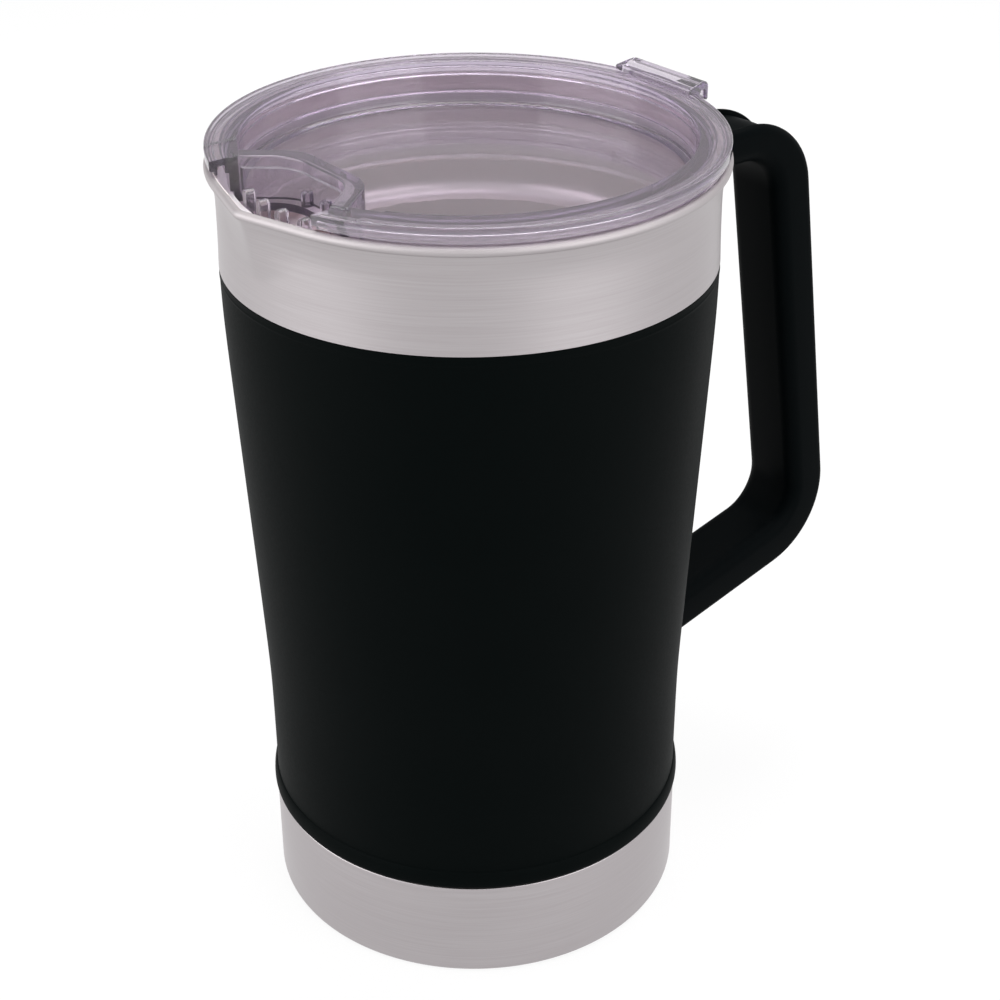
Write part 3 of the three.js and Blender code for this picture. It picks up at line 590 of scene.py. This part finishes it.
# Tray of the lid as one turned outline: plug with the gasket's groove, seat ribs with a channel between them,
# flange and recess.
def lidTray():
    d = lid
    corners = np.array([
        (0, d["plugFoot"], 0), (d["plugRadius"], d["plugFoot"], 0.5), (d["plugRadius"], d["grooveFoot"], 0.2),
        (d["grooveRadius"], d["grooveFoot"], 0.2), (d["grooveRadius"], d["grooveTop"], 0.2),
        (d["plugRadius"], d["grooveTop"], 0.2), (d["plugRadius"], d["seat"], 0.3), (d["channelInner"], d["seat"], 0.3),
        (d["channelInner"], d["channelTop"], 0.4), (d["channelOuter"], d["channelTop"], 0.4),
        (d["channelOuter"], d["seat"], 0.3), (d["seatRadius"], d["seat"], 0.3),
        (d["seatRadius"], d["flangeFoot"], 0.25), (d["flangeRadius"], d["flangeFoot"], d["edge"]),
        (d["flangeRadius"], d["flangeTop"], d["edge"]), (d["trayRadius"], d["flangeTop"], d["innerEdge"]),
        (d["trayRadius"], d["trayFloor"], d["trayFillet"]), (0, d["trayFloor"], 0)])
    profile = roundedOutline(corners[:, :2], corners[:, 2], 6) + (0, d["level"])
    angles = roundAngles(d["segments"])
    return gridMesh("lidTray", turned(profile, angles), wrapRows=False)


notch = dict(back=44.0, half=15.4, flare=39.5, bend=12.7, strip=5.0, stripReach=65.5, web=2.4, webReach=65.2,
             opening=24.2, mouthCorner=1.0, endRound=0.8, edge=0.6, endHalf=35.0, endDrop=0.6, endFlare=1.8,
             ringHeight=2.6, ringSpan=27, teeth=4, pitch=9.05, tooth=2.8, toothDrop=6.0, toothDepth=3.0,
             toothRound=0.5, ribs=3, ribDrop=9.0, ribProud=0.2, ribRound=0.8, overlap=0.02, inset=0.05,
             sharp=0.1, roundShare=0.98)


# Half of the notch's plan line at a distance from the tray's side of its wall: the bend in the corner, and
# the flared side followed out to a radius, where |bend + s * flare| equals it.
def notchHalf(offset, radius):
    n = notch
    flare = math.radians(n["flare"])
    bend = np.array([-(n["back"] + offset), n["half"] - offset * math.tan(math.pi / 4 - flare / 2)])
    heading = np.array([-math.cos(flare), math.sin(flare)])
    reach = -bend @ heading + math.sqrt((bend @ heading) ** 2 - bend @ bend + radius ** 2)
    return bend, bend + heading * reach, heading


# Band that follows the notch between two distances, its ends sunk into the rim at a radius.
def notchBand(name, near, far, radius, heights, grow):
    n, mirror = notch, np.array([1, -1])
    bendNear, endNear, _ = notchHalf(near, radius)
    bendFar, endFar, _ = notchHalf(far, radius)
    corners = [endNear, bendNear, bendNear * mirror, endNear * mirror,
               endFar * mirror, bendFar * mirror, bendFar, endFar]
    outline = roundedOutline(corners, [n["endRound"], n["bend"], n["bend"], n["endRound"]] * 2, 10)
    return gridMesh(name, upright(outline, np.asarray(heights) + lid["level"], grow), wrapRows=False)


# The notch itself: its plan line runs out along the flares to the opening's half width and then straight
# past the flange. The cutter widens by a quarter circle at the top, which leaves a rounded edge.
def notchCutter():
    n, d = notch, lid
    bend, _, heading = notchHalf(n["strip"], d["flangeRadius"])
    turn = bend + heading * (n["opening"] - bend[1]) / heading[1]
    far = np.array([-d["flangeRadius"] - 20, n["opening"]])
    mirror = np.array([1, -1])
    corners = [far, turn, bend, bend * mirror, turn * mirror, far * mirror]
    side = [n["sharp"], n["mouthCorner"], n["bend"]]
    outline = roundedOutline(corners, side + side[::-1], 10)
    drop, shrink = quarterRound(n["edge"])
    heights = np.concatenate([[d["plugFoot"] - 2], d["flangeTop"] - drop, [d["flangeTop"] + 2]])
    grow = np.concatenate([[0], -shrink, [n["edge"]]])
    return gridMesh("notchCutter", upright(outline, heights + d["level"], grow), wrapRows=False)


# Ring of the plug that crosses the notch: the plug's section carried round the axis over the opening.
def notchRing():
    n, d = notch, lid
    low, step, high = d["plugFoot"] + n["overlap"], d["grooveFoot"] - n["overlap"], d["plugFoot"] + n["ringHeight"]
    inner, plug, groove = d["trayRadius"] + n["inset"], d["plugRadius"] - n["inset"], d["grooveRadius"] - n["overlap"]
    section = roundedOutline([(inner, low), (plug, low), (plug, step), (groove, step), (groove, high), (inner, high)],
                             [0.2, 0.5, 0.2, 0.1, 0.4, 0.4], 5) + (0, d["level"])
    angles = math.pi + np.radians(np.linspace(-n["ringSpan"], n["ringSpan"], 60))
    return gridMesh("notchRing", turned(section, angles), wrapColumns=False)


# Tooth of the strainer comb: a round-topped outline carried inwards from the plug's face with rounded
# front edges, turned to its place on the ring.
def combTooth(number):
    n, d = notch, lid
    foot, tip, half = d["plugFoot"] + 0.6, d["flangeTop"] - n["toothDrop"], n["tooth"] / 2
    outline = roundedOutline([(-half, foot), (half, foot), (half, tip), (-half, tip)],
                             [n["sharp"]] * 2 + [half * n["roundShare"]] * 2, 8)
    drop, shrink = quarterRound(n["toothRound"], 5)
    depth = np.concatenate([[d["grooveRadius"] - n["sharp"]], d["grooveRadius"] - n["toothDepth"] + drop])
    rows = upright(outline, depth, np.concatenate([[0], shrink]))
    angle = math.pi + (number - (n["teeth"] - 1) / 2) * n["pitch"] / d["grooveRadius"]
    across, up, out = rows[..., 0], rows[..., 1], rows[..., 2]
    x = out * math.cos(angle) - across * math.sin(angle)
    y = out * math.sin(angle) + across * math.cos(angle)
    return gridMesh("combTooth", np.stack([x, y, up + d["level"]], -1), wrapRows=False)


# Rib on the face of the notch's wall: a round-fronted plan carried up from the floor, its top edge rounded.
def wallRib(number):
    n, d = notch, lid
    half, y = n["tooth"] / 2, (number - (n["ribs"] - 1) / 2) * n["pitch"]
    back, front = -(n["back"] + n["web"] / 2), -(n["back"] + n["strip"] + n["ribProud"])
    outline = roundedOutline([(back, y - half), (back, y + half), (front, y + half), (front, y - half)],
                             [n["sharp"]] * 2 + [half * n["roundShare"]] * 2, 8)
    drop, shrink = quarterRound(n["ribRound"])
    heights = np.concatenate([[d["plugFoot"] + n["inset"]], d["flangeTop"] - n["ribDrop"] - drop])
    return gridMesh("wallRib", upright(outline, heights + d["level"], np.concatenate([[0], shrink])), wrapRows=False)


tab = dict(root=67.6, crest=73.2, nose=77.4, rootRise=1.45, crestRise=2.55, noseFall=3.4, wall=2.4, rootHalf=16.2,
           tipHalf=14.9, corner=2.5, edge=0.6, innerRows=(11, 8, 5), rootRound=0.7, footRound=0.4, hollowRound=1.2,
           noseRound=3.6, crestRound=1.2)


# Thumb tab: a side outline that steps up from the flange and turns down at its nose, carried across. Its half
# width narrows towards the tip and drops by a quarter circle at the corners; the side edges are rounded.
def thumbTab():
    t, top = tab, lid["flangeTop"]
    middle, low, crest = (lid["flangeTop"] + lid["flangeFoot"]) / 2, top - t["noseFall"], top + t["crestRise"]
    under, inner, tip = crest - t["wall"], t["nose"] - t["wall"], t["wall"] / 2 - 0.05
    corners = np.array([
        (t["root"], middle, t["rootRound"]), (lid["flangeRadius"], middle, t["rootRound"]),
        (t["crest"], under, t["footRound"]), (inner, under, t["hollowRound"]), (inner, low, tip),
        (t["nose"], low, tip), (t["nose"], crest, t["noseRound"]), (t["crest"], crest, t["crestRound"]),
        (t["root"], top + t["rootRise"], t["rootRound"])])
    drop, shrink = quarterRound(t["edge"])
    rows = upright(roundedOutline(corners[:, :2], corners[:, 2], 8), np.concatenate([t["innerRows"], drop]),
                   np.concatenate([np.zeros(len(t["innerRows"])), shrink]))
    x, z = rows[..., 0], rows[..., 1]
    half = t["rootHalf"] + (t["tipHalf"] - t["rootHalf"]) * np.clip((x - t["root"]) / (t["nose"] - t["root"]), 0, 1)
    past = np.clip((x - t["nose"] + t["corner"]) / t["corner"], 0, 1)
    y = half - t["corner"] * (1 - np.sqrt(1 - past ** 2)) - rows[..., 2]
    near = np.stack([x, y, z + lid["level"]], -1)
    far = near[::-1] * np.array([1, -1, 1])
    return gridMesh("thumbTab", np.concatenate([far, near]), wrapRows=False)


# The lid: the tray with its rim lowered beside the notch, the strip round the notch, the opening cut through,
# then the wall with its comb and the tab joined on.
def clearLid():
    d, n = lid, notch
    drop, shrink = quarterRound(n["edge"])
    strip = notchBand("notchStrip", 0, n["strip"] + 3, n["stripReach"],
                      np.concatenate([[d["flangeFoot"]], d["flangeTop"] - drop]), np.concatenate([[0], shrink]))
    web = notchBand("notchWeb", n["overlap"], n["web"], n["webReach"],
                    [d["plugFoot"] + n["overlap"], d["flangeTop"] - d["edge"]], [0, 0])
    endBox = np.array([(-90, -n["endHalf"]), (0, -n["endHalf"]), (0, n["endHalf"]), (-90, n["endHalf"])], float)
    endHeights = np.array([d["flangeTop"] - n["endDrop"], d["flangeTop"] + 3]) + d["level"]
    endCut = gridMesh("endCutter", upright(endBox, endHeights, [0, n["endFlare"]]), wrapRows=False)
    comb = carved(notchRing(), "UNION", web)
    for number in range(n["teeth"]):
        comb = carved(comb, "UNION", combTooth(number))
    for number in range(n["ribs"]):
        comb = carved(comb, "UNION", wallRib(number))
    made = carved(lidTray(), "DIFFERENCE", endCut)
    made = carved(made, "UNION", strip)
    made = carved(made, "DIFFERENCE", notchCutter())
    made = carved(made, "UNION", comb)
    made = carved(made, "UNION", thumbTab())
    made.name = "clearLid"
    return closedMesh(made, 30)


lidPiece = addPiece("clearLid", clearLid(), "lid_moulding", "clear_plastic", clear, "lid")
lidPiece.modifiers.new("flatFaces", "WEIGHTED_NORMAL").keep_sharp = True

gasket = dict(inner=65.9, band=67.1, tip=69.2, foot=232.7, height=3.6, fin=0.9, segments=240)


# Silicone ring: a band in the groove with a soft fin at its foot and one at its top.
def sealRing():
    g = gasket
    top = g["foot"] + g["height"]
    corners = np.array([
        (g["inner"], g["foot"], 0.3), (g["band"], g["foot"], 0.2), (g["tip"], g["foot"] + g["fin"] / 2, 0.15),
        (g["tip"], g["foot"] + g["fin"], 0.15), (g["band"], g["foot"] + g["fin"], 0.3),
        (g["band"], top - g["fin"], 0.3), (g["tip"], top - g["fin"] / 2, 0.15), (g["tip"], top, 0.15),
        (g["inner"], top, 0.3)])
    angles = roundAngles(g["segments"])
    return gridMesh("sealRing", turned(roundedOutline(corners[:, :2], corners[:, 2], 5), angles))


addPiece("sealRing", sealRing(), "gasket_ring", "silicone", silicone, "lid_gasket")

hiddenFinish = dict(insulation_foil=copper, vacuum_seal=steel, getter_pellet=sinter, getter_clip=steel,
                    upper_stud=zinc, lower_stud=zinc, upper_screw=zinc, lower_screw=zinc)
for node, finish in hiddenFinish.items():
    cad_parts[node].material_slots[0].material = finish
print("hidden nodes finished")

studio = dict(floorSize=8.0, floorColour="#f8f8f8", floorGlow=0.85, skyLevel=0.45,
              darkSky=(0.515, 0.674, 0.53), darkLevel=0.4, darkFrom=0.55, darkTo=0.9, aimHeight=0.14,
              lamps=[dict(name="leftBox", azimuth=163, distance=1.15, height=0.55, size=(1.3, 1.2), watts=12.0),
                     dict(name="rightBox", azimuth=-79, distance=1.15, height=0.55, size=(1.0, 1.2), watts=8.8),
                     dict(name="topBox", azimuth=20, distance=0.35, height=1.5, size=(1.3, 1.3), watts=20.0)],
              lens=70.45, sensor=36.0, cameraPlace=(-0.31318, -0.40962, 0.42400),
              cameraTurn=(60.305, 0.186, -38.423), bounces=32)


# One for what is seen directly, in metal or through the lid, and nothing for the light on matt surfaces.
def seenRays(tree):
    path = addNode(tree, "ShaderNodeLightPath")
    first = addNode(tree, "ShaderNodeMath", {0: path.outputs["Is Camera Ray"], 1: path.outputs["Is Glossy Ray"]},
                    operation="MAXIMUM")
    return addNode(tree, "ShaderNodeMath", {0: first.outputs[0], 1: path.outputs["Is Transmission Ray"]},
                   operation="MAXIMUM").outputs[0]


# Sky and floor are white where they are seen and plainer as light. The sky has a dim opening above the back,
# which the top of the lid mirrors.
def setStudio():
    s = studio
    scene = bpy.context.scene
    world = bpy.data.worlds.new("studioWorld")
    world.use_nodes = True
    world.node_tree.nodes.clear()
    tree = world.node_tree
    seen = seenRays(tree)
    way = addNode(tree, "ShaderNodeTexCoord").outputs["Generated"]
    behind = addNode(tree, "ShaderNodeVectorMath", {0: way, 1: s["darkSky"]}, operation="DOT_PRODUCT")
    white = addNode(tree, "ShaderNodeMapRange", {
        "Value": behind.outputs["Value"], "From Min": s["darkFrom"], "From Max": s["darkTo"],
        "To Min": 1.0, "To Max": s["darkLevel"]}, interpolation_type="SMOOTHSTEP")
    level = spreadOver(tree, seen, s["skyLevel"], white.outputs["Result"])
    sky = addNode(tree, "ShaderNodeBackground", {"Color": (1, 1, 1, 1), "Strength": level})
    addNode(tree, "ShaderNodeOutputWorld", {"Surface": sky.outputs["Background"]})
    scene.world = world

    half = s["floorSize"] / 2
    floorMesh = bpy.data.meshes.new("floor")
    floorMesh.from_pydata([(-half, -half, 0), (half, -half, 0), (half, half, 0), (-half, half, 0)], [], [(0, 1, 2, 3)])
    floor = bpy.data.objects.new("floor", floorMesh)
    scene.collection.objects.link(floor)
    material, tree = newMaterial("paleFloor")
    seen = seenRays(tree)
    share = addNode(tree, "ShaderNodeMath", {0: seen, 1: s["floorGlow"]}, operation="MULTIPLY")
    matt = addNode(tree, "ShaderNodeBsdfDiffuse", {"Color": toLinear(s["floorColour"])})
    glow = addNode(tree, "ShaderNodeEmission", {"Color": (1, 1, 1, 1), "Strength": 1.0})
    both = addNode(tree, "ShaderNodeMixShader", {0: share.outputs[0], 1: matt.outputs[0], 2: glow.outputs[0]})
    addNode(tree, "ShaderNodeOutputMaterial", {"Surface": both.outputs[0]})
    floorMesh.materials.append(material)

    for item in s["lamps"]:
        light = bpy.data.lights.new(item["name"], "AREA")
        light.shape, light.energy = "RECTANGLE", item["watts"]
        light.size, light.size_y = item["size"]
        lamp = bpy.data.objects.new(item["name"], light)
        a = math.radians(item["azimuth"])
        lamp.location = (item["distance"] * math.cos(a), item["distance"] * math.sin(a), item["height"])
        aim = Vector((0, 0, s["aimHeight"])) - lamp.location
        lamp.rotation_euler = aim.to_track_quat("-Z", "Y").to_euler()
        scene.collection.objects.link(lamp)

    camera = bpy.data.cameras.new("camera")
    camera.lens, camera.sensor_width = s["lens"], s["sensor"]
    camera.clip_start, camera.clip_end = 0.01, 50.0
    viewer = bpy.data.objects.new("camera", camera)
    viewer.location = s["cameraPlace"]
    viewer.rotation_euler = [math.radians(a) for a in s["cameraTurn"]]
    scene.collection.objects.link(viewer)
    scene.camera = viewer
    scene.view_settings.view_transform = "Standard"
    cycles = scene.cycles
    cycles.max_bounces = cycles.glossy_bounces = cycles.transmission_bounces = s["bounces"]


setStudio()
print("studio set")
